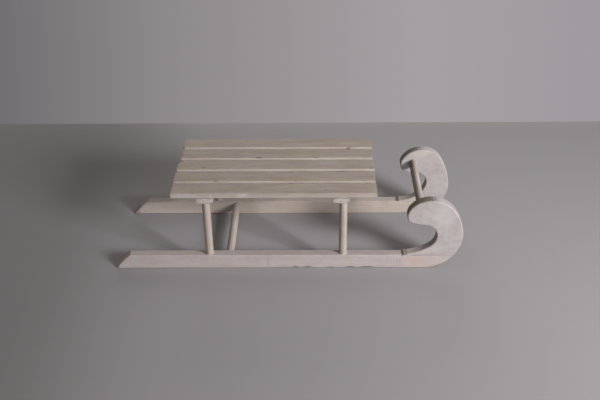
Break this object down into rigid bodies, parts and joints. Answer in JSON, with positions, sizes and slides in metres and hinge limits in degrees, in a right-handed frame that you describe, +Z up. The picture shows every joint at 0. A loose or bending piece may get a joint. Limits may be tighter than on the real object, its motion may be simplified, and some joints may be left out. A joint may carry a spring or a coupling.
{
  "type": "toy wooden sled",
  "caption": "Small sled of pale wood: two runners with scrolled front curls, dowel posts, cross battens, a slatted deck and a round handle bar between the curls.",
  "frame": {"origin": "on the floor, below the middle of the sled's length and width", "axes": "+X towards the curled front, +Y to the sled's left, +Z up"},
  "size_m": [0.533, 0.171, 0.136],
  "materials": {
    "runner_wood": "planed softwood, thin white wash",
    "curl_wood": "sawn and sanded softwood, thin white wash",
    "dowel_wood": "turned softwood dowel, thin white wash",
    "batten_wood": "sawn softwood, thin white wash",
    "deck_wood": "planed softwood, thin white wash, slightly greyed"
  },
  "bodies": {
    "root": {"runner_beam_left": "runner_wood", "runner_beam_right": "runner_wood", "curl_left": "curl_wood", "curl_right": "curl_wood", "post_rear_left": "dowel_wood", "post_rear_right": "dowel_wood", "post_front_left": "dowel_wood", "post_front_right": "dowel_wood", "batten_rear": "batten_wood", "batten_front": "batten_wood", "slat_1": "deck_wood", "slat_2": "deck_wood", "slat_3": "deck_wood", "slat_4": "deck_wood", "slat_5": "deck_wood", "spreader_dowel": "dowel_wood", "handle_dowel": "dowel_wood"}
  },
  "joints": []
}
